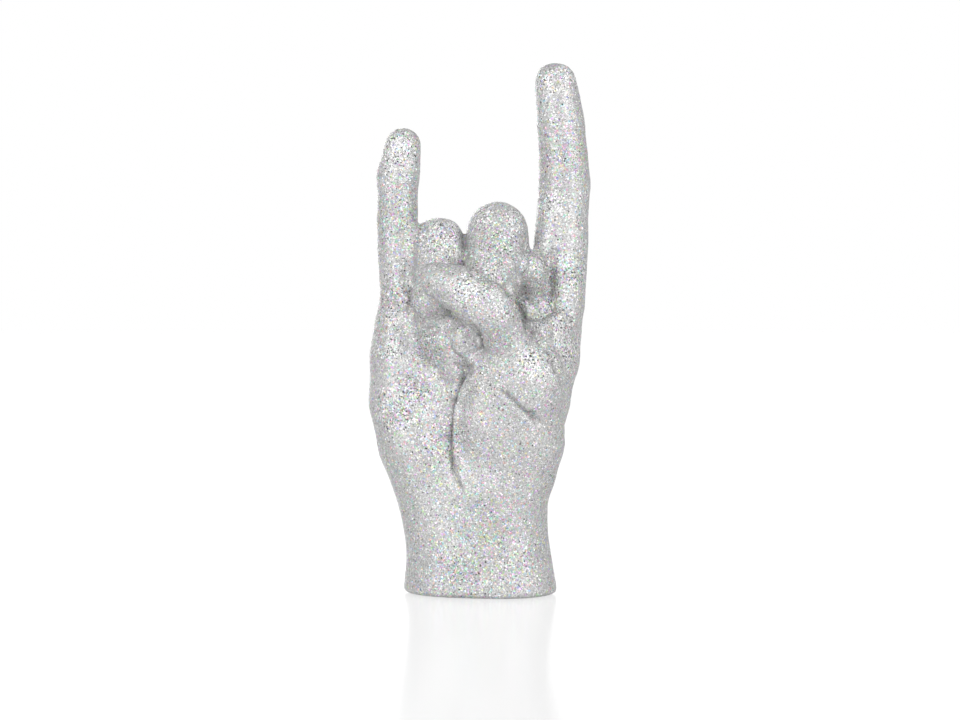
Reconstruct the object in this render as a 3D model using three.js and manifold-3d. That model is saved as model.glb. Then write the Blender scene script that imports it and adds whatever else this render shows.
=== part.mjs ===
// A right hand that makes the sign of the horns, standing on its cut wrist with its palm towards -Y.
// The index and little fingers point up, and the thumb lies across the folded middle and ring
// fingers. It is cast in parts: a hollow palm, four fingers and a thumb, each held on the palm by a
// steel dowel. A plug closes the palm's foot and a soft pad lies under it.
// Millimetres, +Z up. The origin is the middle of the pad's resting face.
import * as THREE from "three";
import { mergeVertices } from "three/addons/utils/BufferGeometryUtils.js";
import Module from "manifold-3d";

const wasm = await Module();
wasm.setup();

// Facet sizes
const palmFacet = 4.1;
const fingerFacet = 3.6;
const hollowFacet = 7;

// Glue gap, hollow and foot
const glueGap = 0.3;
const castWall = 5;
const hollowTop = 86;
const hollowTopRound = 8;
const padThickness = 0.6;
const padInset = 4.5;
const plugThickness = 6;
const dowelSides = 12;

// How softly the masses of flesh run into each other
const palmBlend = 8;
const thenarBlend = 10;
const padBlend = 4;
const jointBlend = 2;

// The thumb's mass lies over the palm in a crease that fades out towards the wrist.
const creaseBlend = 3;
const wristBlend = 12;
const creaseFadeLow = 44;
const creaseFadeHigh = 68;

// Fingers and thumb. The knuckle is the middle of the first joint. Each segment has its length, its
// curl (0 points up, 90 points to the palm side), its lean towards +X, and the radius of the joint
// or tip at its end. Pads swell the first segment a given way along it, moved to the right and to
// the front. The seam is how far past the knuckle the finger's own casting starts, and the dowel
// runs from below the seam to above it.
const thumb = {
  name: "thumb",
  knuckle: { x: 21.7, y: -22.5, z: 94 },
  knuckleRadius: 12.6,
  segments: [
    { length: 19.4, curl: 26, lean: -30, radius: 9 },
    { length: 18, curl: 22, lean: -26, radius: 11 },
    { length: 14.8, curl: 3, lean: -56, radius: 9.8 },
    { length: 11.8, curl: -40, lean: -62, radius: 7.4 },
  ],
  pads: [],
  seam: 17,
  dowel: { radius: 2, below: 12, above: 12 },
};
const indexFinger = {
  name: "index_finger",
  knuckle: { x: 31, y: 2, z: 106 },
  knuckleRadius: 11.8,
  segments: [
    { length: 72.4, curl: 2, lean: 4.6, radius: 11.2 },
    { length: 25, curl: 3, lean: -3.8, radius: 10.6 },
    { length: 18.8, curl: 6, lean: -7.4, radius: 9.4 },
  ],
  pads: [
    { along: 20, right: 1.6, front: 2, radius: 10.6 },
    { along: 48, right: 0.9, front: 2, radius: 10.2 },
  ],
  seam: 20,
  dowel: { radius: 2.5, below: 14, above: 45 },
};
const littleFinger = {
  name: "little_finger",
  knuckle: { x: -33.4, y: 1, z: 116 },
  knuckleRadius: 10.6,
  segments: [
    { length: 46, curl: 2, lean: -2.4, radius: 9 },
    { length: 19.5, curl: 2, lean: 0.7, radius: 9.4 },
    { length: 13.2, curl: 4, lean: 8, radius: 8 },
  ],
  pads: [
    { along: 16, right: 0, front: 1.6, radius: 9.2 },
    { along: 34, right: 0, front: 1.6, radius: 8.2 },
  ],
  seam: 18,
  dowel: { radius: 2.5, below: 14, above: 32 },
};
const middleFinger = {
  name: "middle_finger",
  knuckle: { x: 14.5, y: 4, z: 106 },
  knuckleRadius: 12,
  segments: [
    { length: 51.8, curl: 9, lean: -7.8, radius: 13 },
    { length: 31.3, curl: 146, lean: -7, radius: 11.4 },
    { length: 23.5, curl: 187, lean: -27, radius: 7.7 },
  ],
  pads: [
    { along: 23, right: 11, front: 6.5, radius: 7 },
    { along: 36.5, right: 12.5, front: 8, radius: 8.4 },
  ],
  seam: 15,
  dowel: { radius: 2, below: 12, above: 12 },
};
const ringFinger = {
  name: "ring_finger",
  knuckle: { x: -13, y: 5, z: 104 },
  knuckleRadius: 11.5,
  segments: [
    { length: 49.8, curl: 10, lean: -5.8, radius: 10.2 },
    { length: 29.3, curl: 146, lean: -3.6, radius: 9.3 },
    { length: 13, curl: 218, lean: -1.4, radius: 7.9 },
  ],
  pads: [{ along: 24, right: 0, front: 1, radius: 10.2 }],
  seam: 15,
  dowel: { radius: 2, below: 12, above: 12 },
};

// Where castings press on each other, an earlier one in this list keeps its shape.
const fingers = [thumb, indexFinger, littleFinger, middleFinger, ringFinger];

// Forearm and palm. Each mass runs through spots, given as x, y, z and radius.
const forearmThumbSide = [[12.2, -2.8, 0, 21.2], [9.8, -2.2, 30, 18.8], [14.5, -3, 54, 16.4]];
const forearmMiddle = [[0, -0.5, 0, 22.4], [-0.5, 0, 30, 20.4], [-3, 0, 56, 17]];
const outerEdge = [
  [-12.2, 2.8, 0, 21.2],
  [-11.4, 2.5, 18, 20],
  [-16.8, 1.5, 42, 18.5],
  [-26.6, -2, 66, 17.6],
  [-31.6, -3, 84, 16.4],
  [-33.8, -2, 104, 13.8],
];
const indexHandBone = [[12, 3, 46, 13], [26.4, 0, 84, 12.6]];
const middleHandBone = [[3, 5, 44, 14]];
const ringHandBone = [[-6, 5, 44, 14]];
const indexMound = [[26.4, -7, 97, 10.4], [29.2, -7.5, 112, 9.8]];
const web = [[23.5, -13, 101, 8.4], [25, -13, 112, 7.6]];
const palmHeart = [[-9, -3, 50, 12.5], [-14, -6, 76, 11.5], [-16.5, -6, 97, 10]];
const thumbHandBone = [[12, -7, 46, 13], [20, -12, 66, 16]];
const thenar = [[3, -8, 50, 12.5], [4.5, -13.5, 76, 15.5], [6.5, -20, 97, 12.5]];

const palette = {
  glitter: { color: 0xc9cdd0, roughness: 0.35, metalness: 0.7 },
  steel: { color: 0x9a9ea3, roughness: 0.4, metalness: 1 },
  plug: { color: 0xb9b4a8, roughness: 0.8, metalness: 0 },
  pad: { color: 0x3a3a3c, roughness: 0.95, metalness: 0 },
};

// The joints of a finger, from its knuckle to its tip, each with its radius.
function jointsOf(finger) {
  const { x, y, z } = finger.knuckle;
  const joints = [{ at: new THREE.Vector3(x, y, z), radius: finger.knuckleRadius }];
  for (const { length, curl, lean, radius } of finger.segments) {
    const c = THREE.MathUtils.degToRad(curl);
    const l = THREE.MathUtils.degToRad(lean);
    const way = new THREE.Vector3(Math.sin(l), -Math.cos(l) * Math.sin(c), Math.cos(l) * Math.cos(c));
    joints.push({ at: joints.at(-1).at.clone().addScaledVector(way, length), radius });
  }
  return joints;
}

// A frame whose +Z runs along a finger's first segment, at a distance past its knuckle.
function frameAlong(finger, distance) {
  const [root, next] = jointsOf(finger);
  const way = next.at.clone().sub(root.at).normalize();
  const turn = new THREE.Quaternion().setFromUnitVectors(new THREE.Vector3(0, 0, 1), way);
  const at = root.at.clone().addScaledVector(way, distance);
  return new THREE.Matrix4().compose(at, turn, new THREE.Vector3(1, 1, 1));
}

const padsOf = (finger) =>
  finger.pads.map(({ along, right, front, radius }) => {
    const at = new THREE.Vector3().setFromMatrixPosition(frameAlong(finger, along));
    return { at: at.add(new THREE.Vector3(right, -front, 0)), radius };
  });

// Distance from a point to a bone: a rod between two spots that tapers from one radius to the other.
function bone(from, to) {
  const a = from.at;
  const d = to.at.clone().sub(a);
  const lengthSquared = d.lengthSq() || 1;
  const taper = to.radius - from.radius;
  return (x, y, z) => {
    const px = x - a.x;
    const py = y - a.y;
    const pz = z - a.z;
    const t = THREE.MathUtils.clamp((px * d.x + py * d.y + pz * d.z) / lengthSquared, 0, 1);
    return Math.hypot(px - d.x * t, py - d.y * t, pz - d.z * t) - from.radius - taper * t;
  };
}

function softMin(a, b, blend) {
  const overlap = Math.max(blend - Math.abs(a - b), 0) / blend;
  return Math.min(a, b) - (overlap * overlap * blend) / 4;
}

const softMax = (a, b, blend) => -softMin(-a, -b, blend);

const joined = (fields, blend) => (x, y, z) =>
  fields.reduce((distance, field) => softMin(distance, field(x, y, z), blend), Infinity);

function limb(spots) {
  const bones = spots.slice(1).map((spot, i) => bone(spots[i], spot));
  return joined(bones, jointBlend);
}

// How far a point lies before a finger's seam.
function beforeSeam(finger) {
  const toSeam = frameAlong(finger, finger.seam).invert();
  const [, , rowX, , , , rowY, , , , rowZ, , , , offset] = toSeam.elements;
  return (x, y, z) => -(rowX * x + rowY * y + rowZ * z + offset);
}

// The flesh of a finger's first segment with its pads. It runs on across the seam.
function rootOf(finger) {
  const [knuckle, next] = jointsOf(finger);
  const pads = padsOf(finger);
  const segment = limb([knuckle, next]);
  if (!pads.length) return segment;
  return joined([segment, limb(pads.length > 1 ? pads : [knuckle, ...pads, next])], padBlend);
}

// A finger's flesh past its seam, cut flat there.
function fingerShape(finger) {
  const smooth = rootOf(finger);
  const rest = limb(jointsOf(finger).slice(1));
  const cut = beforeSeam(finger);
  const field = (x, y, z) =>
    softMin(Math.max(smooth(x, y, z), cut(x, y, z)), rest(x, y, z), jointBlend);
  return { field, edges: [{ smooth, cut }] };
}

// The start of a finger's flesh, which the palm casting carries up to a glue gap from the seam.
function stubOf(finger) {
  const smooth = rootOf(finger);
  const before = beforeSeam(finger);
  const cut = (x, y, z) => glueGap - before(x, y, z);
  const field = (x, y, z) => Math.max(smooth(x, y, z), cut(x, y, z));
  return { field, smooth, cut };
}

const spotsOf = (rows) =>
  rows.map(([x, y, z, radius]) => ({ at: new THREE.Vector3(x, y, z), radius }));
const towards = (rows, finger) => [...spotsOf(rows), jointsOf(finger)[0]];
const palmLimbs = [
  spotsOf(forearmThumbSide),
  spotsOf(forearmMiddle),
  towards(outerEdge, littleFinger),
  towards(indexHandBone, indexFinger),
  towards(middleHandBone, middleFinger),
  towards(ringHandBone, ringFinger),
  spotsOf(indexMound),
  spotsOf(web),
  spotsOf(palmHeart),
];
const thumbLimbs = [towards(thumbHandBone, thumb), spotsOf(thenar)];
const stubs = new Map(fingers.map((finger) => [finger, stubOf(finger)]));
const fingerStubs = fingers.filter((finger) => finger !== thumb).map((f) => stubs.get(f).field);
const palmFlesh = joined([...palmLimbs.map(limb), ...fingerStubs], palmBlend);
const thumbFlesh = joined([...thumbLimbs.map(limb), stubs.get(thumb).field], thenarBlend);

function handField(x, y, z) {
  const sharp = THREE.MathUtils.smoothstep(z, creaseFadeLow, creaseFadeHigh);
  const blend = THREE.MathUtils.lerp(wristBlend, creaseBlend, sharp);
  return softMin(palmFlesh(x, y, z), thumbFlesh(x, y, z), blend);
}
const palmShape = { field: handField, edges: [...stubs.values()] };
const hollowShape = {
  field: (x, y, z) => softMax(handField(x, y, z) + castWall, z - hollowTop, hollowTopRound),
  edges: [],
};

// A closed mesh as a solid, with the corners that its facets share joined.
const sameCorner = 1e-4;
function solidOf(geometry) {
  const corners = geometry.clone();
  corners.deleteAttribute("normal");
  corners.deleteAttribute("uv");
  const merged = mergeVertices(corners, sameCorner);
  return solidFrom(merged.attributes.position.array, merged.index.array);
}

function solidFrom(positions, triangles) {
  return new wasm.Manifold(
    new wasm.Mesh({
      numProp: 3,
      vertProperties: new Float32Array(positions),
      triVerts: new Uint32Array(triangles),
    }),
  );
}

function geometryOf(solid) {
  const mesh = solid.getMesh();
  const geometry = new THREE.BufferGeometry();
  geometry.setAttribute("position", new THREE.BufferAttribute(mesh.vertProperties, 3));
  geometry.setIndex(new THREE.BufferAttribute(mesh.triVerts, 1));
  const facets = geometry.toNonIndexed();
  facets.computeVertexNormals();
  return facets;
}

function boxAround(spots, margin) {
  const box = new THREE.Box3();
  for (const { at, radius } of spots) {
    box.expandByPoint(at.clone().addScalar(radius + margin));
    box.expandByPoint(at.clone().addScalar(-radius - margin));
  }
  return box;
}

// The surface where a field is zero, as a closed solid. One vertex goes into each cell of a grid
// that the surface crosses and slides onto it, and a square joins the four cells round each crossed
// grid line. Where a flat cut meets the surface, the vertex goes onto their common edge. Growth
// moves the finished surface outwards by that much.
function surfaceOf({ field, edges }, box, facet, growth = 0) {
  const low = box.min.toArray();
  const size = box.getSize(new THREE.Vector3()).toArray();
  const count = size.map((length) => Math.ceil(length / facet) + 1);
  const step = [1, count[0], count[0] * count[1]];
  const index = (cell) => cell[0] + cell[1] * step[1] + cell[2] * step[2];
  const place = (cell) => cell.map((n, axis) => low[axis] + n * facet);
  const value = new Float64Array(count[0] * count[1] * count[2]);
  for (const cell of cells(count, 0, 0)) value[index(cell)] = field(...place(cell));
  untangle(value, step);

  const positions = [];
  const vertexOf = new Int32Array(value.length).fill(-1);
  for (const cell of cells(count, 0, 1)) {
    const crossings = crossingsOf(cell, value, index(cell), step);
    if (!crossings.length) continue;
    const middle = [0, 1, 2].map((axis) => sum(crossings, axis) / crossings.length);
    const point = place(middle);
    settle(point, field, facet);
    const edge = edges.find((e) => moveToEdge(point, e, field, facet));
    if (edge) slideToEdge(point, edge, growth, facet);
    else slideTo(point, field, growth + field(...point), facet);
    vertexOf[index(cell)] = positions.length / 3;
    positions.push(...point);
  }

  const triangles = [];
  for (const cell of cells(count, 1, 1))
    for (const axis of [0, 1, 2]) {
      const at = index(cell);
      const inside = value[at] < 0;
      if (inside === value[at + step[axis]] < 0) continue;
      const u = step[(axis + 1) % 3];
      const v = step[(axis + 2) % 3];
      const square = [at - u - v, at - v, at, at - u].map((c) => vertexOf[c]);
      triangles.push(...halves(inside ? square : square.reverse(), positions));
    }
  return solidFrom(positions, triangles);
}

const sum = (points, axis) => points.reduce((total, point) => total + point[axis], 0);

// Every cell of a grid, without the first and last few layers.
function* cells(count, first, last) {
  for (let k = first; k < count[2] - last; k++)
    for (let j = first; j < count[1] - last; j++)
      for (let i = first; i < count[0] - last; i++) yield [i, j, k];
}

// The points, in cells, where a cell's sides go through the surface.
function crossingsOf(cell, value, at, step) {
  const crossings = [];
  for (let corner = 0; corner < 8; corner++) {
    const offset = [corner & 1, (corner >> 1) & 1, corner >> 2];
    const from = at + offset[0] * step[0] + offset[1] * step[1] + offset[2] * step[2];
    for (const axis of [0, 1, 2]) {
      const a = value[from];
      const b = value[from + step[axis]];
      if (offset[axis] || a < 0 === b < 0) continue;
      const point = cell.map((n, i) => n + offset[i]);
      point[axis] += a / (a - b);
      crossings.push(point);
    }
  }
  return crossings;
}

// Fills one corner of each cell side whose corners alternate between inside and outside, because
// four squares would meet along one line there.
const justInside = -1e-3;
function untangle(value, step) {
  let filled = true;
  while (filled) {
    filled = false;
    for (let at = 0; at < value.length; at++)
      for (const axis of [0, 1, 2]) {
        const u = step[(axis + 1) % 3];
        const v = step[(axis + 2) % 3];
        const corners = [at, at + u, at + u + v, at + v];
        const [a, b, c, d] = corners.map((corner) => value[corner] < 0);
        if (a !== c || b !== d || a === b) continue;
        value[a ? corners[1] : corners[0]] = justInside;
        filled = true;
      }
  }
}

// Moves a point along a field's slope to where the field has the level asked for.
const flattestSlope = 0.3;
function slideTo(point, field, level, facet) {
  const probe = facet / 20;
  const slope = point.map((_, axis) => {
    const ahead = point.map((n, i) => (i === axis ? n + probe : n));
    const behind = point.map((n, i) => (i === axis ? n - probe : n));
    return (field(...ahead) - field(...behind)) / (2 * probe);
  });
  const steepness = Math.max(Math.hypot(...slope), flattestSlope) ** 2;
  const way = (level - field(...point)) / steepness;
  slope.forEach((s, i) => (point[i] += way * s));
}

// Moves a point onto the surface, by half a facet at most.
function settle(point, field, facet) {
  const start = [...point];
  for (let round = 0; round < 3; round++) {
    slideTo(point, field, 0, facet);
    start.forEach((n, i) => {
      point[i] = THREE.MathUtils.clamp(point[i], n - facet / 2, n + facet / 2);
    });
  }
}

function slideToEdge(point, { smooth, cut }, level, facet) {
  for (let round = 0; round < 6; round++) {
    slideTo(point, cut, level, facet);
    slideTo(point, smooth, level, facet);
  }
}

// Moves a point onto the edge between a smooth surface and its flat cut, if the edge is near.
const edgeReach = 0.75;
function moveToEdge(point, edge, field, facet) {
  if (Math.abs(edge.cut(...point)) > facet || Math.abs(edge.smooth(...point)) > facet) return false;
  const place = [...point];
  slideToEdge(place, edge, 0, facet);
  const moved = Math.hypot(...place.map((n, i) => n - point[i]));
  if (moved > edgeReach * facet || Math.abs(field(...place)) > facet / 8) return false;
  place.forEach((n, i) => (point[i] = n));
  return true;
}

// A square's two triangles, split along its shorter diagonal.
function halves([a, b, c, d], positions) {
  const apart = (m, n) =>
    Math.hypot(...[0, 1, 2].map((i) => positions[3 * m + i] - positions[3 * n + i]));
  return apart(a, c) < apart(b, d) ? [a, b, c, a, c, d] : [a, b, d, b, c, d];
}

// The biggest body of a solid, without the crumbs that its cuts left beside it.
function biggest(solid) {
  const bodies = solidOf(geometryOf(solid)).decompose();
  return bodies.reduce((best, body) => (body.volume() > best.volume() ? body : best));
}

// A solid whose shortest edges are drawn together, because cuts leave specks of facets behind.
// An edge stays where its ends have more than two neighbours in common or a facet would turn over.
const shortestEdge = 0.12;
function withoutSpecks(solid) {
  const mesh = solid.getMesh();
  const points = Array.from({ length: mesh.numVert }, (_, v) =>
    new THREE.Vector3().fromArray(mesh.vertProperties, 3 * v),
  );
  const facets = Array.from({ length: mesh.numTri }, (_, t) =>
    Array.from(mesh.triVerts.slice(3 * t, 3 * t + 3)),
  );
  const round = points.map(() => new Set());
  facets.forEach((facet, t) => facet.forEach((v) => round[v].add(t)));
  const neighboursOf = (v) => new Set([...round[v]].flatMap((t) => facets[t]).filter((n) => n !== v));
  const facing = ([a, b, c]) => b.clone().sub(a).cross(c.clone().sub(a));

  function drawTogether(a, b) {
    const near = neighboursOf(b);
    if ([...neighboursOf(a)].filter((n) => near.has(n)).length !== 2) return false;
    const middle = points[a].clone().lerp(points[b], 0.5);
    const moving = [...round[a], ...round[b]].filter((t) => !round[a].has(t) || !round[b].has(t));
    const turnsOver = moving.some((t) => {
      const before = facets[t].map((v) => points[v]);
      const after = facets[t].map((v) => (v === a || v === b ? middle : points[v]));
      return facing(before).dot(facing(after)) < 0;
    });
    if (turnsOver) return false;
    for (const t of [...round[b]]) {
      if (round[a].has(t)) facets[t].forEach((v) => round[v].delete(t));
      else {
        facets[t] = facets[t].map((v) => (v === b ? a : v));
        round[a].add(t);
      }
    }
    round[b].clear();
    points[a].copy(middle);
    return true;
  }

  let drawn = true;
  while (drawn) {
    drawn = false;
    for (let a = 0; a < points.length; a++)
      for (const b of neighboursOf(a))
        if (points[a].distanceTo(points[b]) < shortestEdge && drawTogether(a, b)) drawn = true;
  }
  const kept = facets.filter((facet, t) => round[facet[0]].has(t)).flat();
  const geometry = new THREE.BufferGeometry();
  const corners = kept.flatMap((v) => points[v].toArray());
  geometry.setAttribute("position", new THREE.Float32BufferAttribute(corners, 3));
  return solidOf(geometry);
}

const sculpture = new THREE.Group();
function add(name, solid, finish) {
  const mesh = new THREE.Mesh(geometryOf(solid), new THREE.MeshStandardMaterial(palette[finish]));
  mesh.name = name;
  sculpture.add(mesh);
}

function dowelSolid(finger, growth = 0) {
  const { radius, below, above } = finger.dowel;
  const length = below + above + 2 * growth;
  const rod = new THREE.CylinderGeometry(radius + growth, radius + growth, length, dowelSides);
  rod.rotateX(Math.PI / 2).translate(0, 0, (above - below) / 2);
  return solidOf(rod.applyMatrix4(frameAlong(finger, finger.seam)));
}

// A finger's own casting. Grown by a gap, it cuts its neighbours.
function fingerSolid(finger, growth) {
  const box = boxAround([...jointsOf(finger), ...padsOf(finger)], 2 * fingerFacet);
  return surfaceOf(fingerShape(finger), box, fingerFacet, growth);
}

const palmBox = boxAround([...palmLimbs, ...thumbLimbs].flat(), 2 * hollowFacet);
function slab(low, high) {
  const { min, max } = palmBox;
  const box = new THREE.BoxGeometry(max.x - min.x, max.y - min.y, high - low);
  return solidOf(box.translate((min.x + max.x) / 2, (min.y + max.y) / 2, (low + high) / 2));
}

const hollow = surfaceOf(hollowShape, palmBox, hollowFacet);
const footTop = padThickness + glueGap;
let palm = surfaceOf(palmShape, palmBox, palmFacet)
  .subtract(hollow)
  .trimByPlane([0, 0, 1], footTop);
const holes = fingers.map((finger) => dowelSolid(finger, glueGap));
const withHoles = (solid) => holes.reduce((body, hole) => body.subtract(hole), solid);
const cutters = [];
for (const finger of fingers) {
  const whole = fingerSolid(finger, 0);
  const casting = cutters.reduce((body, cutter) => body.subtract(cutter), whole);
  const cutter = fingerSolid(finger, glueGap).add(whole);
  palm = palm.subtract(cutter);
  cutters.push(cutter);
  add(finger.name, biggest(withoutSpecks(withHoles(casting))), "glitter");
  add(finger.name + "_dowel", dowelSolid(finger), "steel");
}
add("palm_casting", biggest(withoutSpecks(withHoles(palm))), "glitter");

const plug = surfaceOf(hollowShape, palmBox, hollowFacet, -glueGap);
add("foot_plug", plug.intersect(slab(footTop, footTop + plugThickness)), "plug");
const pad = surfaceOf(palmShape, palmBox, palmFacet, -padInset);
add("foot_pad", pad.intersect(slab(0, padThickness)), "pad");

export default sculpture;
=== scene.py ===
import math

import bpy
import numpy as np
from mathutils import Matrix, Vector


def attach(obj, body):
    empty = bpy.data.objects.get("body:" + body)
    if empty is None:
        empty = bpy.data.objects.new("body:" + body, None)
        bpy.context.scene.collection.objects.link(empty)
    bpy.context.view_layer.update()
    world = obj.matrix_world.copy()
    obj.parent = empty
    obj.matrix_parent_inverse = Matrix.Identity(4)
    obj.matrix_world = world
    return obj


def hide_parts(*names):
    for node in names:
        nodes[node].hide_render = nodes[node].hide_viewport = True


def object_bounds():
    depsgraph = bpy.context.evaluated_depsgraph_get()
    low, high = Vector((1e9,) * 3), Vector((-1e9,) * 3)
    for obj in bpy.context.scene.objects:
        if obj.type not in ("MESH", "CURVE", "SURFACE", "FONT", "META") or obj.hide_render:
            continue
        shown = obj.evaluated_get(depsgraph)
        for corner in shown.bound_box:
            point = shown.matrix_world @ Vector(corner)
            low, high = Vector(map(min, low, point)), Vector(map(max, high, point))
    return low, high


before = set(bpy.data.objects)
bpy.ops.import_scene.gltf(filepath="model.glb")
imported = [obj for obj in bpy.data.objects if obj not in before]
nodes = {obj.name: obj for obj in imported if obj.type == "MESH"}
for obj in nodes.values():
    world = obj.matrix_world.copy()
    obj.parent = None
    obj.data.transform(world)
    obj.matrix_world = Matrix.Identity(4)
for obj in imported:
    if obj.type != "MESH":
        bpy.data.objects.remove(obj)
cad_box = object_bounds()

MM = 0.001
MIDDLE_OF_HAND = Vector((0, 0, 0.12))
CASTINGS = ("palm_casting", "index_finger", "little_finger", "middle_finger", "ring_finger", "thumb")
DOWELS = tuple(name + "_dowel" for name in CASTINGS[1:])


# Camera and studio

def make_camera():
    stands_at = Vector((0, -1.1, 0.135))
    looks_at = Vector((0, 0, 0.1016))
    bpy.ops.object.camera_add(location=stands_at)
    camera = bpy.context.object
    camera.rotation_euler = (looks_at - stands_at).to_track_quat("-Z", "Y").to_euler()
    camera.data.lens = 95
    camera.data.sensor_width = 36
    bpy.context.scene.camera = camera


class Shader:
    """A material's nodes, added one by one and linked as they are added."""

    def __init__(self, tree):
        self.tree = tree
        tree.nodes.clear()

    def add(self, kind, inputs=(), **settings):
        made = self.tree.nodes.new("ShaderNode" + kind)
        for name, value in settings.items():
            setattr(made, name, value)
        for name, value in dict(inputs).items():
            self.feed(made.inputs[name], value)
        return made

    def feed(self, socket, value):
        if isinstance(value, bpy.types.NodeSocket):
            self.tree.links.new(value, socket)
        else:
            socket.default_value = value

    def math(self, operation, *values):
        made = self.add("Math", operation=operation)
        for socket, value in zip(made.inputs, values):
            self.feed(socket, value)
        return made.outputs[0]

    def vector(self, operation, *values, scale=None):
        made = self.add("VectorMath", operation=operation)
        for socket, value in zip(made.inputs, values):
            self.feed(socket, value)
        if scale is not None:
            self.feed(made.inputs["Scale"], scale)
        return made.outputs[0]

    def attribute(self, name):
        return self.add("Attribute", attribute_name=name).outputs["Fac"]

    def mix(self, factor, first, second):
        made = self.add("Mix", {0: factor, 6: first, 7: second}, data_type="RGBA")
        return made.outputs[2]

    def grey_scale(self, factor, stops):
        """A smooth scale of greys through the stops, each a place from 0 to 1 with its grey."""
        made = self.add("ValToRGB", {"Fac": factor})
        elements = made.color_ramp.elements
        while len(elements) < len(stops):
            elements.new(1)
        for element, (place, grey) in zip(elements, stops):
            element.position = place
            element.color = (grey, grey, grey, 1)
        return made.outputs["Color"]

    def seen_directly(self):
        """1 for a ray from the camera, a reflection or a refraction, 0 for light that falls on things."""
        path = self.add("LightPath")
        mirrored = self.math("MAXIMUM", path.outputs["Is Glossy Ray"], path.outputs["Is Transmission Ray"])
        return self.math("MAXIMUM", path.outputs["Is Camera Ray"], mirrored)


def new_material(name):
    material = bpy.data.materials.new(name)
    material.use_nodes = True
    return material, Shader(material.node_tree)


def make_world(fill):
    """White wherever it is seen, and a weak fill light on things."""
    world = bpy.data.worlds.new("white studio")
    bpy.context.scene.world = world
    world.use_nodes = True
    shader = Shader(world.node_tree)
    strength = shader.math("MULTIPLY_ADD", shader.seen_directly(), 1 - fill, fill)
    background = shader.add("Background", {"Color": (1, 1, 1, 1), "Strength": strength})
    shader.add("OutputWorld", {"Surface": background.outputs[0]})


def make_softbox(name, at, size, power):
    bpy.ops.object.light_add(type="AREA", location=at)
    lamp = bpy.context.object
    lamp.name = name
    lamp.rotation_euler = (MIDDLE_OF_HAND - Vector(at)).to_track_quat("-Z", "Y").to_euler()
    lamp.data.shape = "RECTANGLE"
    lamp.data.size, lamp.data.size_y = size
    lamp.data.energy = power


def make_floor():
    """White acrylic. It stays white as far as the horizon and keeps the hand's shadow and its faint
    mirror image."""
    bpy.ops.mesh.primitive_circle_add(vertices=64, radius=6, fill_type="NGON", location=(0, 0, 0))
    floor = bpy.context.object
    floor.name = "white_floor"
    material, shader = new_material("glossy white acrylic")
    lit = shader.add("BsdfDiffuse", {"Color": (0.85, 0.85, 0.85, 1)})
    glow = shader.add("Emission", {"Strength": 1.12})
    mirror = shader.add("BsdfGlossy", {"Color": (1, 1, 1, 1), "Roughness": 0.16})
    white = shader.add("MixShader", {0: 0.9, 1: lit.outputs[0], 2: glow.outputs[0]})
    polished = shader.add("MixShader", {0: 0.3, 1: white.outputs[0], 2: mirror.outputs[0]})
    seen = shader.add("MixShader", {0: shader.seen_directly(), 1: lit.outputs[0], 2: polished.outputs[0]})
    shader.add("OutputMaterial", {"Surface": seen.outputs[0]})
    floor.data.materials.append(material)


# Finishes

# In millimetres. Neighbouring flakes share a tint, as the film they are cut from does.
FINE_FLAKE = 0.39
BIG_FLAKE = 0.55
TINTED_SPOT = 0.8


def flakes(shader, place, size):
    """One layer of flakes. Gives each flake's dice, as a number and as three, and its tilt."""
    layout = shader.add("TexVoronoi", {"Vector": place, "Scale": 1 / (size * MM)}, voronoi_dimensions="3D")
    tilt = layout.outputs["Color"]
    dice = shader.add("TexWhiteNoise", {"Vector": tilt}, noise_dimensions="3D")
    return dice.outputs["Value"], dice.outputs["Color"], tilt


def holographic_film(shader, place):
    """The tint of the flakes' film, white on most of them. Where the coat is colourful, more of them
    have a tint and all are a little darker. Along the floor of a deep crease the flakes carry painted
    shade."""
    rainbow, painted_shade = shader.attribute("rainbow"), shader.attribute("painted_shade")
    dice = shader.add("SeparateColor", {"Color": flakes(shader, place, TINTED_SPOT)[1]})
    chance = shader.math("MULTIPLY_ADD", rainbow, 0.7, 0.03)
    tinted = shader.math("LESS_THAN", dice.outputs["Green"], chance)
    depth = shader.math("MULTIPLY_ADD", dice.outputs["Blue"], 0.34, 0.1)
    depth = shader.math("MULTIPLY", depth, tinted)
    bright = shader.math("MULTIPLY_ADD", tinted, 0.22, 1)
    bright = shader.math("MULTIPLY", bright, shader.math("MULTIPLY_ADD", rainbow, -0.25, 1))
    # Painted shade: the flakes along a deep crease's floor are darkened, standing in for the shadow that
    # falls there.
    bright = shader.math("MULTIPLY", bright, shader.math("MULTIPLY_ADD", painted_shade, -0.75, 1))
    hue = dice.outputs["Red"]
    return shader.add("CombineColor", {"Red": hue, "Green": depth, "Blue": bright}, mode="HSV").outputs[0]


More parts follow.
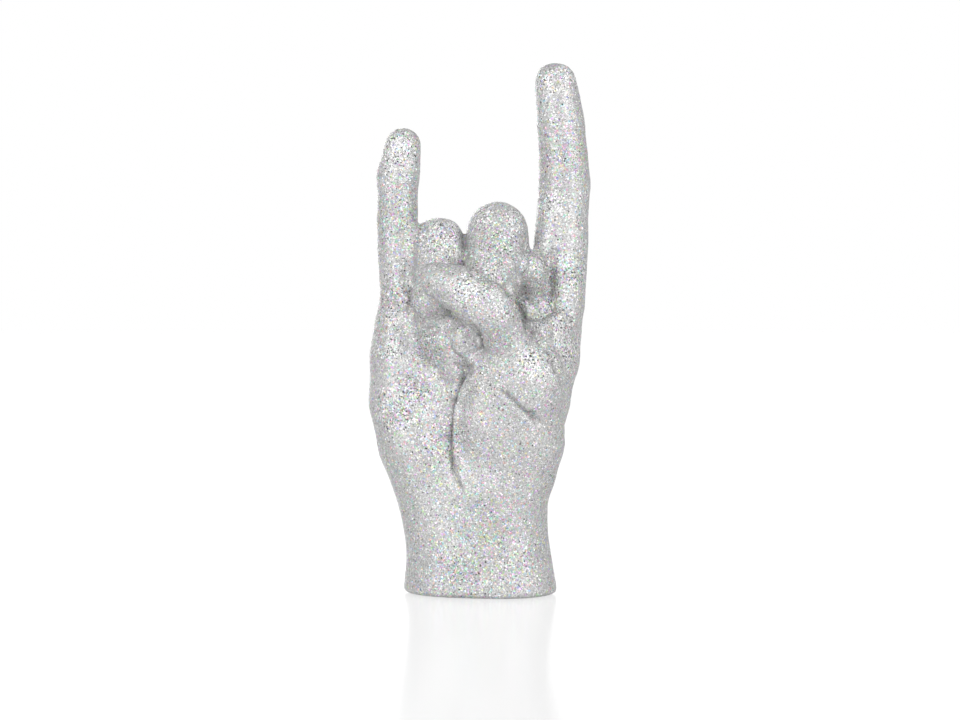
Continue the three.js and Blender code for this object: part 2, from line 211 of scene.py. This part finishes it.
def glitter():
    """Fine silver flakes in clear varnish, with bigger ones strewn among them where the coat is thick.
    Each flake has its own brightness and tilt, and some shine in a colour of the rainbow."""
    material, shader = new_material("silver holographic glitter")
    place = shader.add("TexCoord").outputs["Object"]
    fine_dice, _, fine_tilt = flakes(shader, place, FINE_FLAKE)
    big_dice, three_dice, big_tilt = flakes(shader, place, BIG_FLAKE)
    pick = shader.add("TexWhiteNoise", {"Vector": three_dice}, noise_dimensions="3D").outputs["Value"]
    is_big = shader.math("LESS_THAN", pick, shader.math("MULTIPLY", shader.attribute("chunky"), 0.75))

    fine_tone = shader.grey_scale(fine_dice, (
        (0, 0.26), (0.12, 0.46), (0.5, 0.54), (0.85, 0.66), (1, 0.95),
    ))
    big_tone = shader.grey_scale(big_dice, ((0, 0.06), (0.15, 0.3), (0.35, 0.64), (0.6, 0.95), (1, 1)))
    tone = shader.mix(is_big, fine_tone, big_tone)
    colour = shader.vector("MULTIPLY", tone, holographic_film(shader, place))

    lean = shader.vector("SUBTRACT", shader.mix(is_big, fine_tilt, big_tilt), (0.5, 0.5, 0.5))
    lean = shader.vector("SCALE", lean, scale=shader.math("MULTIPLY_ADD", is_big, 0.4, 0.45))
    facing = shader.vector("ADD", shader.add("NewGeometry").outputs["Normal"], lean)
    facing = shader.vector("NORMALIZE", facing)
    surface = shader.add("BsdfPrincipled", {
        "Base Color": colour, "Metallic": 0.2, "Roughness": 0.34, "Normal": facing,
        "Specular IOR Level": 0.1, "Specular Tint": (0.45, 0.45, 0.45, 1),
    })
    shader.add("OutputMaterial", {"Surface": surface.outputs[0]})
    return material


def foam_rubber():
    material, shader = new_material("dark foam rubber")
    place = shader.add("TexCoord").outputs["Object"]
    pores = shader.add("TexVoronoi", {"Vector": place, "Scale": 2500})
    grey = shader.grey_scale(pores.outputs["Distance"], ((0, 0.012), (0.5, 0.035), (1, 0.05)))
    dents = shader.add("Bump", {"Height": pores.outputs["Distance"], "Strength": 0.5, "Distance": 0.0002})
    surface = shader.add("BsdfPrincipled", {
        "Base Color": grey, "Roughness": 0.9, "Normal": dents.outputs[0],
    })
    shader.add("OutputMaterial", {"Surface": surface.outputs[0]})
    return material


def ground_steel():
    material, shader = new_material("ground steel")
    place = shader.add("TexCoord").outputs["Object"]
    stretched = shader.add("Mapping", {"Vector": place, "Scale": (1, 1, 0.02)})
    lines = shader.add("TexNoise", {"Vector": stretched.outputs[0], "Scale": 3000, "Detail": 2})
    grey = shader.grey_scale(lines.outputs["Fac"], ((0.3, 0.38), (0.7, 0.5)))
    scratches = shader.add("Bump", {"Height": lines.outputs["Fac"], "Strength": 0.15, "Distance": 0.0001})
    surface = shader.add("BsdfPrincipled", {
        "Base Color": grey, "Metallic": 1, "Roughness": 0.35, "Normal": scratches.outputs[0],
    })
    shader.add("OutputMaterial", {"Surface": surface.outputs[0]})
    return material


def bare_resin():
    material, shader = new_material("bare cast resin")
    place = shader.add("TexCoord").outputs["Object"]
    clouds = shader.add("TexNoise", {"Vector": place, "Scale": 120, "Detail": 4})
    dust = shader.add("TexNoise", {"Vector": place, "Scale": 1800, "Detail": 2})
    colour = shader.mix(clouds.outputs["Fac"], (0.4, 0.37, 0.31, 1), (0.5, 0.47, 0.4, 1))
    grain = shader.add("Bump", {"Height": dust.outputs["Fac"], "Strength": 0.3, "Distance": 0.0002})
    surface = shader.add("BsdfPrincipled", {
        "Base Color": colour, "Roughness": 0.7, "Normal": grain.outputs[0],
    })
    shader.add("OutputMaterial", {"Surface": surface.outputs[0]})
    return material


# Modelling helpers

def only(piece):
    bpy.ops.object.select_all(action="DESELECT")
    piece.select_set(True)
    bpy.context.view_layer.objects.active = piece


def modify(piece, kind, **settings):
    only(piece)
    modifier = piece.modifiers.new(kind.lower(), kind)
    for name, value in settings.items():
        setattr(modifier, name, value)
    bpy.ops.object.modifier_apply(modifier=modifier.name)


def copy_of(node_name):
    """A copy of a solid with its facets joined, its squares found again and its sharp edges kept sharp."""
    mesh = nodes[node_name].data.copy()
    mesh.materials.clear()
    copy = bpy.data.objects.new("copy of " + node_name, mesh)
    bpy.context.scene.collection.objects.link(copy)
    only(copy)
    bpy.ops.object.mode_set(mode="EDIT")
    bpy.ops.mesh.select_all(action="SELECT")
    bpy.ops.mesh.remove_doubles(threshold=1e-6)
    bpy.ops.mesh.tris_convert_to_quads(face_threshold=math.radians(50), shape_threshold=math.radians(50))
    bpy.ops.mesh.select_all(action="DESELECT")
    bpy.ops.mesh.edges_select_sharp(sharpness=math.radians(55))
    bpy.ops.transform.edge_crease(value=1)
    bpy.ops.object.mode_set(mode="OBJECT")
    return copy


def smoothstep(low, high, value):
    t = np.clip((value - low) / (high - low), 0, 1)
    return t * t * (3 - 2 * t)


def smooth_line(stops, step):
    """Points every step along a smooth curve through the stops."""
    stops = np.array(stops, dtype=float)
    framed = np.vstack([2 * stops[0] - stops[1], stops, 2 * stops[-1] - stops[-2]])
    line = []
    for a, b, c, d in zip(framed, framed[1:], framed[2:], framed[3:]):
        count = max(2, math.ceil(np.linalg.norm(c - b) / step))
        for t in np.arange(count) / count:
            bend = (2 * a - 5 * b + 4 * c - d) * t**2 + (3 * b - a - 3 * c + d) * t**3
            line.append(b + ((c - a) * t + bend) / 2)
    line.append(stops[-1])
    return np.array(line)


# The skin as clay. Places on it are given as x and z in millimetres, seen from the palm or the back.

PALM_SIDE = 1
BACK_SIDE = -1
TOUCH_FROM = 0.3  # metres in front of the middle of the hand
TOUCH_STEP = 0.4  # from one touch to the next along a crease
PAINTED_SHADE_STRIP = 0.7  # half as broad as the strip of painted shade along a deep crease's floor
RUB = 0.6  # how far one rub moves a point towards the middle of its neighbours


class Clay:
    def __init__(self, piece):
        self.piece = piece
        mesh = piece.data
        ends = np.empty(2 * len(mesh.edges), dtype=np.int32)
        mesh.edges.foreach_get("vertices", ends)
        self.edges = ends.reshape(-1, 2)
        count = len(mesh.vertices)
        self.neighbours = np.bincount(self.edges.ravel(), minlength=count)
        # Painted shade along the floors of deep creases, one value a point.
        self.painted_shade = np.zeros(count)
        self.read()

    def read(self):
        mesh = self.piece.data
        count = len(mesh.vertices)
        flat = np.empty(3 * count)
        mesh.vertices.foreach_get("co", flat)
        self.points = flat.reshape(-1, 3) / MM
        flat = np.empty(3 * count)
        mesh.vertices.foreach_get("normal", flat)
        self.normals = flat.reshape(-1, 3)
        for _ in range(3):  # evens them out, so that neighbours move alike
            self.normals = 0.5 * self.normals + 0.5 * self.mean_of_neighbours(self.normals)
        self.normals /= np.linalg.norm(self.normals, axis=1, keepdims=True)

    def settle(self):
        """Gives the points back to the piece, so that the next touch feels the new shape."""
        self.piece.data.vertices.foreach_set("co", (self.points * MM).ravel())
        self.piece.data.update()
        bpy.context.view_layer.update()
        self.read()

    def mean_of_neighbours(self, values):
        a, b = self.edges.T
        total = np.empty_like(values)
        for axis in range(values.shape[1]):
            total[:, axis] = np.bincount(a, values[b, axis], len(values))
            total[:, axis] += np.bincount(b, values[a, axis], len(values))
        return total / self.neighbours[:, None]

    def touch(self, x, z, side):
        """The place on the skin that a finger reaches first, coming from the palm side or from the back."""
        start = Vector((x * MM, -side * TOUCH_FROM, z * MM))
        hit, place, _, _ = self.piece.ray_cast(start, Vector((0, side, 0)))
        return np.array(place) / MM if hit else None

    def near(self, stops, reach, side):
        """The points within reach of a line drawn on the skin, their distance from it, and how far
        along it they lie, from 0 to 1."""
        line = smooth_line(stops, TOUCH_STEP)
        places = [self.touch(x, z, side) for x, z in line]
        kept = [i for i, place in enumerate(places) if place is not None]
        places = np.array([places[i] for i in kept])
        along = np.array(kept) / (len(line) - 1)
        low, high = places.min(axis=0) - reach, places.max(axis=0) + reach
        index = np.flatnonzero(((self.points > low) & (self.points < high)).all(axis=1))
        away = self.points[index, None] - places[None]
        squared = (away**2).sum(axis=2)
        nearest = squared.argmin(axis=1)
        distance = np.sqrt(squared[np.arange(len(index)), nearest])
        inside = distance < reach
        return index[inside], distance[inside], along[nearest[inside]]

    def crease(self, *stops, width, depth, lip=0.0, painted_shade=0.0, fade=0.2, side=PALM_SIDE):
        """Draws a groove. A negative depth draws a ridge. The lip is how far the skin bulges beside it,
        the painted shade is how dark its floor is painted, and fade is the share of it that each end takes."""
        index, distance, along = self.near(stops, 4 * width, side)
        ends = smoothstep(0, fade, along) * smoothstep(0, fade, 1 - along)
        bulge = lip * np.exp(-(((distance - 2 * width) / width) ** 2))
        push = bulge - depth * np.exp(-((distance / width) ** 2))
        self.points[index] += self.normals[index] * (push * ends)[:, None]
        # Painted shade: a strip along the crease's floor that darkens the flakes there.
        strip = painted_shade * ends * np.exp(-((distance / PAINTED_SHADE_STRIP) ** 2))
        self.painted_shade[index] = np.maximum(self.painted_shade[index], strip)

    def dent(self, x, z, radius, depth, side=PALM_SIDE, stretch=1.0):
        """Presses a hollow with the thumb, or raises a mound where the depth is negative. Stretch is
        how much taller than wide it is."""
        centre = self.touch(x, z, side)
        away = self.points - centre
        squared = away[:, 0] ** 2 + (away[:, 2] / stretch) ** 2 + away[:, 1] ** 2
        push = depth * np.exp(-squared / radius**2)
        push[squared > (3 * radius) ** 2] = 0
        facing = smoothstep(-0.2, 0.3, -side * self.normals[:, 1])
        self.points[:, 1] += side * push * facing

    def soften(self, x, z, radius, rounds, side=PALM_SIDE):
        """Rubs the skin smooth round a spot. Many rounds also fill a pit there."""
        centre = self.touch(x, z, side)
        distance = np.linalg.norm(self.points - centre, axis=1)
        index = np.flatnonzero(distance < radius)
        number = np.full(len(self.points), -1)
        number[index] = np.arange(len(index))
        a, b = number[self.edges[(number[self.edges] >= 0).all(axis=1)]].T
        count = np.maximum(np.bincount(a, minlength=len(index)) + np.bincount(b, minlength=len(index)), 1)
        rub = RUB * smoothstep(radius, 0.5 * radius, distance[index] + 1)
        for axis in range(3):
            along = self.points[index, axis]
            for _ in range(rounds):
                total = np.bincount(a, along[b], len(index)) + np.bincount(b, along[a], len(index))
                along += rub * (total / count - along)
            self.points[index, axis] = along

    def pad(self, x, z, radius, height, fall):
        """Lays a rounded pad of clay in a hollow on the palm side. Height is how far its top stands in
        front of the middle of the hand, and fall is how much lower it is at its radius."""
        rim, middle_of_hand = 1.3, -1
        squared = ((self.points[:, 0] - x) ** 2 + (self.points[:, 2] - z) ** 2) / radius**2
        top = fall * squared - height
        under = (squared < rim) & (self.points[:, 1] > top) & (self.points[:, 1] < middle_of_hand)
        self.points[under, 1] = top[under]

    def pinch(self, x, z, radius, left=0.0, down=0.0):
        """Moves the edge of the outline, to the right or up where the amount is negative."""
        away = (self.points[:, 0] - x) ** 2 + (self.points[:, 2] - z) ** 2
        share = np.exp(-away / radius**2)
        self.points[:, 0] -= left * share
        self.points[:, 2] -= down * share

    def nail(self, x, z, lean, width, length, side, rise=0.35, groove=0.45):
        """Raises a nail's plate, with a groove along its edge. Lean is the finger's lean towards +X."""
        squareness = 2.6
        centre = self.touch(x, z, side)
        close = np.linalg.norm(self.points - centre, axis=1) < length
        outward = self.normals[close].mean(axis=0)
        outward /= np.linalg.norm(outward)
        tip_way = np.array([math.sin(math.radians(lean)), 0, math.cos(math.radians(lean))])
        across = np.cross(tip_way, outward)
        across /= np.linalg.norm(across)
        tip_way = np.cross(outward, across)
        away = self.points - centre
        u = np.abs(away @ across) / (width / 2)
        v = np.abs(away @ tip_way) / (length / 2)
        ring = (u**squareness + v**squareness) ** (1 / squareness)
        facing = (self.normals @ outward > 0.2) & (np.linalg.norm(away, axis=1) < length)
        plate = rise * smoothstep(0.95, 0.8, ring)
        edge = groove * np.exp(-(((ring - 1.04) / 0.1) ** 2))
        self.points += self.normals * (np.where(facing, plate - edge, 0))[:, None]


# The hand

COAT_THICKNESS = 0.2 * MM
# as fine as 200,000 triangles allow
VOXEL = 0.85 * MM  # the size of the remesh's cells, which sets how many triangles the coat has


def joined_castings():
    """The six castings under one coat. The dowels and the plug fill the bores, so that nothing but the
    outside and the hollow is left."""
    copies = [copy_of(name) for name in CASTINGS]
    for copy in copies:
        modify(copy, "SUBSURF", levels=2, render_levels=2)
        modify(copy, "DISPLACE", strength=COAT_THICKNESS, mid_level=0)
    copies += [copy_of(name) for name in DOWELS + ("foot_plug",)]
    bpy.ops.object.select_all(action="DESELECT")
    for copy in copies:
        copy.select_set(True)
    bpy.context.view_layer.objects.active = copies[0]
    bpy.ops.object.join()
    modify(copies[0], "REMESH", mode="VOXEL", voxel_size=VOXEL)
    coat = outer_shell(copies[0])
    coat.name = "glitter_coat"
    modify(coat, "SMOOTH", factor=0.5, iterations=8)
    return coat


def outer_shell(piece):
    """Deletes the inner skin of the hollow, which nobody sees."""
    only(piece)
    bpy.ops.object.mode_set(mode="EDIT")
    bpy.ops.mesh.select_all(action="SELECT")
    bpy.ops.mesh.separate(type="LOOSE")
    bpy.ops.object.mode_set(mode="OBJECT")
    shells = sorted(bpy.context.selected_objects, key=lambda shell: len(shell.data.vertices))
    for shell in shells[:-1]:
        bpy.data.objects.remove(shell)
    return shells[-1]


def soften_corners(clay):
    """Fills and rubs out the steps that the castings leave where they lie on each other."""
    clay.soften(12, 104, 15, 40)
    clay.soften(28, 106, 9, 20)
    clay.pad(-16, 112, 17, 23.5, 12)
    clay.pad(-9, 100, 11, 23, 9)
    clay.pad(-8, 90, 8, 21, 5)
    clay.pad(0, 111, 5, 30, 4)
    clay.pad(22, 112, 8, 29, 7)
    clay.pad(18, 123, 5, 17, 5)
    clay.dent(-32, 130, 4.5, -4.5, stretch=2)
    clay.dent(-8.7, 147.5, 3.5, -5, stretch=1.6)
    clay.dent(-7.5, 144, 3, -4)
    clay.settle()
    clay.soften(-31, 131, 9, 60)
    clay.soften(-30, 118, 8, 60)
    clay.soften(-17, 117, 12, 60)
    clay.soften(-21, 108, 13, 60)
    clay.soften(-8, 100, 9, 60)
    clay.soften(-8.5, 92, 8, 120)
    clay.soften(0, 111, 5, 30)
    clay.soften(-8.5, 147, 6, 60)
    clay.soften(21, 113, 9, 80)
    clay.soften(25, 110, 8, 40)
    clay.soften(18, 123, 6, 40)
    clay.soften(-43, 109, 9, 60)
    clay.pinch(45, 107, 6, left=1.3)
    clay.pinch(31, 41, 6, left=1)
    clay.pinch(37, 73.5, 3.5, left=-0.8)
    clay.pinch(-27.5, 172, 9, left=1)
    clay.pinch(-26.5, 161, 4, left=1.2, down=1.8)
    clay.pinch(22.5, 151, 3.5, down=1.6)


def carve_palm(clay):
    """The ball of the thumb, the creases round it and the hollow of the palm."""
    clay.dent(-28, 108, 7, 3, stretch=1.8)
    clay.dent(-25, 95, 5, 2.5)
    clay.crease((-4.5, 96), (-7.2, 90), (-9.8, 81), (-10.9, 72.3), (-11.2, 66), (-10.6, 60), (-9.6, 54),
                width=2.6, depth=-1.9, fade=0.25)
    clay.settle()
    # Several of these creases also lay painted shade along their floors.
    clay.crease((-3, 101), (-6.1, 97), (-9.3, 90.7), (-12, 81), (-13.1, 72.3), (-13.6, 66.8), (-12.8, 60.3),
                width=1.2, depth=1.7, painted_shade=1)
    clay.crease((-13.3, 76), (-13.6, 66.8), (-12.8, 60.3), (-11.5, 53.8), (-8.2, 48.4),
                width=1.6, depth=2.2, painted_shade=1, fade=0.35)
    clay.crease((-12.8, 58), (-11.5, 53.8), (-8.6, 49), (-6.4, 46), width=1, depth=0.6, painted_shade=0.9, fade=0.3)
    clay.crease((-16, 84), (-17.5, 75), (-17.5, 66), (-16, 58), width=5, depth=1.8, fade=0.4)
    clay.crease((7.5, 91), (12, 87.5), (17.5, 82), (22, 78), (25.2, 74),
                width=1.1, depth=0.9, lip=0.2, painted_shade=0.7)
    clay.crease((20.2, 81.2), (23, 77.6), (25.6, 74), width=1.5, depth=1.8)
    clay.crease((17.8, 116.7), (22.1, 113.5), (26.5, 110), (30.8, 103.7), (33.5, 95),
                width=1.8, depth=2.6, painted_shade=0.35, fade=0.15)
    clay.crease((33.5, 97), (36, 92), (38.2, 87), width=2, depth=2.4, fade=0.3)
    clay.crease((-39, 130), (-39.4, 118), (-39, 106), (-38, 94), width=3.2, depth=-0.8, fade=0.3)


def carve_wrist(clay):
    """Tendons under the skin, and a wrinkle across them."""
    clay.crease((-3.4, 42), (-1.7, 37.5), (1.5, 30), (3.7, 22), (4, 16), width=2.2, depth=0.6)
    clay.crease((-11.6, 45), (-9.4, 38), (-8.6, 30), (-9, 20), width=2.6, depth=0.4)
    clay.crease((-5, 40), (-4, 31), (-3, 20), (-3, 10), width=2.4, depth=-0.5)
    clay.crease((9, 40), (11, 30), (11.6, 18), width=3, depth=-0.4)
    clay.crease((3, 56), (7, 53.6), (11, 53), (14, 51), width=0.8, depth=0.25)


def carve_folded_fingers(clay):
    """The middle and ring fingers, pressed into the palm under the thumb."""
    clay.dent(-10.5, 108.5, 7, -4, stretch=1.3)
    clay.settle()
    clay.dent(-5.8, 103.5, 4.8, -3)
    clay.soften(-11, 109, 8, 60)
    clay.soften(-6, 106, 5.5, 60)
    clay.soften(-8.5, 101.5, 6, 80)
    clay.settle()
    clay.crease((-6.6, 162), (-7, 155), (-6.2, 149), (-7.5, 144.5), width=1.1, depth=1.5)
    clay.crease((-5, 141), (0.5, 137.8), (6, 136.5), (10, 134), width=2, depth=1.8)
    clay.crease((-3.6, 118), (-1, 113.5), (0.8, 107.5), width=1.5, depth=4.5, fade=0.25)
    clay.crease((-11.5, 101), (-8.6, 98.8), (-5.8, 98.2), (-2.4, 99.6), width=1.5, depth=1.8)
    clay.dent(-5, 98.6, 1.8, 1.6)
    clay.crease((-30, 110.5), (-27, 112.4), (-21.5, 114.6), (-16.5, 115.8), width=1.4, depth=2)
    clay.crease((-13.5, 124), (-9, 120), (-5, 116.5), width=1.6, depth=1.6)
    clay.dent(-31.5, 139, 3.5, 2, stretch=1.5)


def carve_bent_side(clay):
    """The side of the middle finger's bend, and the deep hollow between it, the thumb and the ball of
    the index finger."""
    clay.dent(24, 141, 7, -5, stretch=1.2)
    clay.soften(19.5, 124, 5, 60)
    clay.settle()
    clay.crease((10, 136), (13, 130), (16.5, 124), (20, 121.2), (25, 121.6), (29, 123.4), (34, 126.5),
                width=2.2, depth=3.8, fade=0.12)
    clay.crease((29.5, 151), (31, 146), (31, 138), (30, 131), (31, 125.5), width=2.2, depth=5)
    clay.crease((22.5, 115.5), (27, 117.2), (33, 120), (38.5, 122.6), width=2.6, depth=-1.1)
    clay.crease((20, 154), (19.6, 147), (17, 138), (15.6, 134), width=1.6, depth=1.8)
    clay.dent(31, 151, 4, 1, stretch=1.3)


def shape_raised_fingers(clay):
    """Their outline, their smooth round sides and the folds at their joints."""
    for x, z, radius, left in (
        (44.5, 203, 9, 0.7), (48.5, 179, 8, 0.6), (40, 223, 6, 0.6), (24.5, 203, 9, -0.3),
        (24.5, 183, 8, -0.1), (-27, 182, 8, 0.4), (-27, 194, 6, 0.2), (-45, 135, 11, -1.2),
    ):
        clay.pinch(x, z, radius, left)
    clay.pinch(34, 231, 8, down=0.8)
    clay.pinch(-18, 163, 6, down=0.6)
    for x, z, radius in (
        (36, 176, 17), (35, 203, 15), (34, 150, 16), (-36, 162, 13), (-35, 181, 12), (-34, 140, 12),
    ):
        clay.soften(x, z, radius, 60)
        clay.soften(x, z, radius, 60, side=BACK_SIDE)
    for z, depth in ((179.5, 0.5), (175.5, 0.4), (204, 0.45), (201, 0.3), (149, 0.35)):
        clay.crease((24, z), (30, z - 0.8), (38, z - 0.8), (46, z), width=0.9, depth=depth, lip=0.12)
    for z, depth in ((163, 0.45), (160, 0.35), (182, 0.4), (140, 0.3)):
        clay.crease((-42, z), (-38, z - 0.6), (-33, z - 0.6), (-28, z), width=0.9, depth=depth, lip=0.12)


def shape_back(clay):
    """Knuckles, tendons and the wrinkles over the finger joints."""
    for x, z, rise in ((31, 105, 1.5), (13.5, 106, 1.8), (-12.5, 104, 1.5), (-32, 110, 1.2)):
        clay.dent(x, z, 7, -rise, side=BACK_SIDE)
    for x, z in ((22.5, 104), (0.5, 103), (-22.5, 105)):
        clay.crease((x, z + 8), (x, z), (0.9 * x, z - 12), width=3, depth=1.1, side=BACK_SIDE)
    for top, low in ((30, 16), (13, 7), (-12, -5), (-31, -15)):
        clay.crease((top, 98), ((2 * top + low) / 3, 80), ((top + 2 * low) / 3, 60), (low, 40),
                    width=2.4, depth=-0.8, side=BACK_SIDE, fade=0.3)
    for x, z, half in ((37.5, 177, 8), (36.3, 203, 7), (-35.5, 162, 6.5), (-35, 181, 6)):
        for k, depth in ((-3.4, 0.3), (-1.6, 0.5), (0, 0.6), (1.7, 0.5), (3.6, 0.3)):
            bow = 0.35 * k
            clay.crease((x - half, z + k - bow), (x, z + k + bow), (x + half, z + k - bow),
                        width=0.8, depth=depth, lip=0.15, side=BACK_SIDE)
    clay.nail(34.3, 221.5, -7.4, 12.5, 14.5, BACK_SIDE)
    clay.nail(-33.2, 190.3, 8, 9.5, 10.5, BACK_SIDE)


def shape_thumb(clay):
    """The nail, which faces the palm side, and the folds over the joint."""
    clay.soften(-2, 129, 9, 16)
    clay.nail(-17.5, 135.4, -60, 10.5, 12, PALM_SIDE, rise=0.2, groove=0.3)
    clay.crease((-1, 141), (0.5, 134), (1.5, 126), width=1.2, depth=0.35, lip=0.15)
    clay.crease((-3, 140), (-2, 133.5), (-1.5, 126.5), width=1, depth=0.25, lip=0.1)


def shape_foot(clay):
    """Rounds the cut edge of the wrist and lets the coat run down round the pad, almost to the table."""
    corner, breadth, clearance, drop_over = 2.2, 26.0, 0.2, 6.0
    foot = clay.points[:, 2].min()
    height = np.clip(clay.points[:, 2] - foot, 0, corner)
    inset = corner - np.sqrt(corner**2 - (corner - height) ** 2)
    clay.points[:, :2] *= (1 - inset / breadth)[:, None]
    rising = np.clip((clay.points[:, 2] - foot) / drop_over, 0, 1)
    clay.points[:, 2] -= (foot - clearance) * (1 - rising)


def roughen(clay, amount):
    """The uneven skin that a thick coat of flakes leaves."""
    dice = np.random.default_rng(5)
    bumps = dice.normal(0, amount, len(clay.points))
    clay.points += clay.normals * bumps[:, None]


# Spots on the palm side where the coat is thick: x, z and radius in millimetres, how many of its flakes
# are big and how colourful they are, from 0 to 1
PALM_SPOTS = (
    (-36, 194, 8, 1, 0), (-34, 162, 16, 0.25, 0.9), (-36, 130, 10, 0.6, 0.7), (-34, 81, 9, 0.9, 0.9),
    (-28, 88, 11, 0.7, 0.9), (-38.6, 108, 6, 0.9, 0.4), (-38, 122, 6, 0.7, 0.4), (-22, 106, 10, 0.45, 0.9),
    (-11, 157, 6, 1, 0.3), (-18, 155, 10, 0.9, 0.6), (1.5, 164.5, 5, 1, 0.3), (14, 163, 5, 1, 0.3),
    (7, 152, 11, 0.7, 0.75), (25, 145, 7, 1, 0.6), (36, 140, 12, 0.7, 0.8), (30, 169, 7, 0.8, 0.3),
    (30, 127, 7, 1, 1), (32, 118, 8, 1, 0.3), (36, 105, 8, 1, 0.3), (24, 103, 8, 1, 0.5),
    (36, 190, 18, 0.15, 0.7), (29, 221, 5, 1, 0.1), (38, 225, 5, 1, 0.1), (-6, 132, 6, 1, 0.3),
    (4, 138, 7, 0.9, 0.7), (-16, 66, 11, 0.5, 1), (4, 30, 20, 0.15, 0.8), (-8, 12, 16, 0.35, 0.9),
    (16, 14, 12, 0.3, 0.8), (4, 96, 9, 0.4, 0.3), (13, 124, 7, 0.7, 0.5), (8, 112, 8, 0.2, 0.8),
)


def strew(clay):
    """Marks how many flakes are big, how colourful they are and where painted shade darkens them."""
    x, y, z = clay.points.T
    chunky = np.full(len(x), 0.1)
    rainbow = np.full(len(x), 0.27)
    waves = np.sin(x / 6.1 + 1) * np.sin(z / 8.3) * np.sin(y / 7 + z / 21)
    back = smoothstep(2, 12, y)
    chunky += back * (0.3 + 0.4 * waves)
    rainbow += back * (0.3 + 0.3 * waves)
    for spot_x, spot_z, radius, thick, colourful in PALM_SPOTS:
        away = (x - spot_x) ** 2 + (z - spot_z) ** 2
        share = np.exp(-away / radius**2) * (1 - back)
        chunky = np.maximum(chunky, share * thick)
        rainbow = np.maximum(rainbow, share * colourful)
    # The painted shade of the creases goes to the coat as an attribute.
    for name, values in (("chunky", chunky), ("rainbow", rainbow), ("painted_shade", clay.painted_shade)):
        attribute = clay.piece.data.attributes.new(name, "FLOAT", "POINT")
        attribute.data.foreach_set("value", np.clip(values, 0, 1))


def keep_within(clay, box):
    """Holds the skin inside the solids' box, a hair from its sides."""
    margin = 0.02
    low, high = (np.array(corner) / MM for corner in box)
    clay.points = np.clip(clay.points, low + margin, high - margin)


EVENING_ROUNDS = 2
EVENING = 0.4
SKIN_GRAIN = 0.05


def sculpt(piece):
    clay = Clay(piece)
    for shape in (soften_corners, shape_raised_fingers, carve_bent_side, carve_folded_fingers, carve_palm,
                  carve_wrist, shape_thumb, shape_back, shape_foot):
        shape(clay)
        clay.settle()
    for _ in range(EVENING_ROUNDS):
        clay.points += EVENING * (clay.mean_of_neighbours(clay.points) - clay.points)
    clay.settle()
    roughen(clay, SKIN_GRAIN)
    keep_within(clay, cad_box)
    clay.settle()
    strew(clay)


make_camera()
make_world(fill=0.25)
make_softbox("left softbox", (-1.0, -1.3, 0.65), (0.9, 1.0), 16)
make_softbox("right softbox", (1.15, -1.3, 0.55), (0.9, 1.0), 16.5)
make_softbox("back softbox", (-0.5, 1.4, 0.5), (0.9, 0.9), 9)
make_floor()

hand = joined_castings()
only(hand)
bpy.ops.object.shade_smooth()
sculpt(hand)

hand.data.materials.append(glitter())
for finish, names in (
    (foam_rubber(), ("foot_pad",)), (ground_steel(), DOWELS), (bare_resin(), ("foot_plug",)),
):
    for name in names:
        for slot in nodes[name].material_slots:
            slot.material = finish
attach(hand, "root")
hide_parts(*CASTINGS)

bpy.context.scene.view_settings.view_transform = "Standard"
